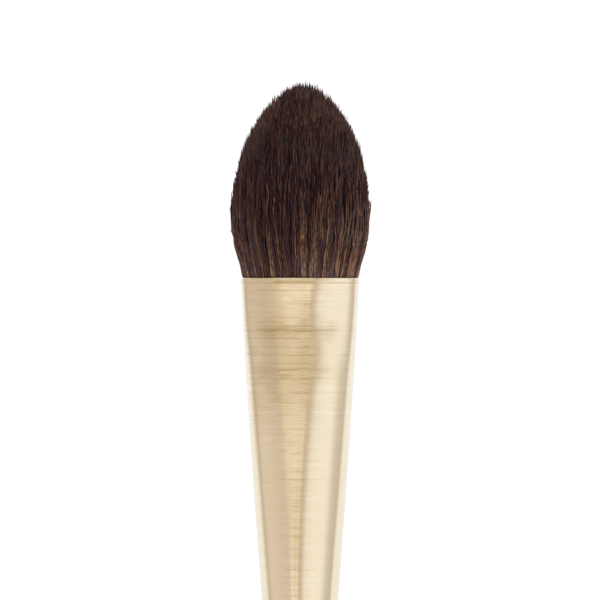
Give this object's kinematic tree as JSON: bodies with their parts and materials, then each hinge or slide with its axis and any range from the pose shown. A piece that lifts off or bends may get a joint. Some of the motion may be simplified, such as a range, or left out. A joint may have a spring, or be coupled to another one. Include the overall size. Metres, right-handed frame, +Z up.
{
  "type": "powder brush",
  "caption": "Round make-up powder brush: a flame-shaped head of dark brown hair set in the rolled mouth of a long brushed champagne-gold cone that tapers to a flat-ended tail",
  "frame": {"origin": "centre of the flat end of the tail, where the brush stands", "axes": "+Z runs up the brush's axis from the tail to the tip of the hair; +X and +Y are any two directions across it, since the brush is round"},
  "size_m": [0.0282, 0.0282, 0.1545],
  "materials": {
    "hair": "satin",
    "thread": "matte",
    "resin": "gloss",
    "cup_metal": "satin",
    "handle_metal": "satin",
    "dowel_wood": "matte",
    "weight_steel": "satin",
    "cap_metal": "satin"
  },
  "bodies": {
    "root": {"hair_tuft": "hair", "root_binding": "thread", "root_resin": "resin", "knot_cup": "cup_metal", "handle_shell": "handle_metal", "core_dowel": "dowel_wood", "balance_weight": "weight_steel", "end_cap": "cap_metal"}
  },
  "joints": []
}
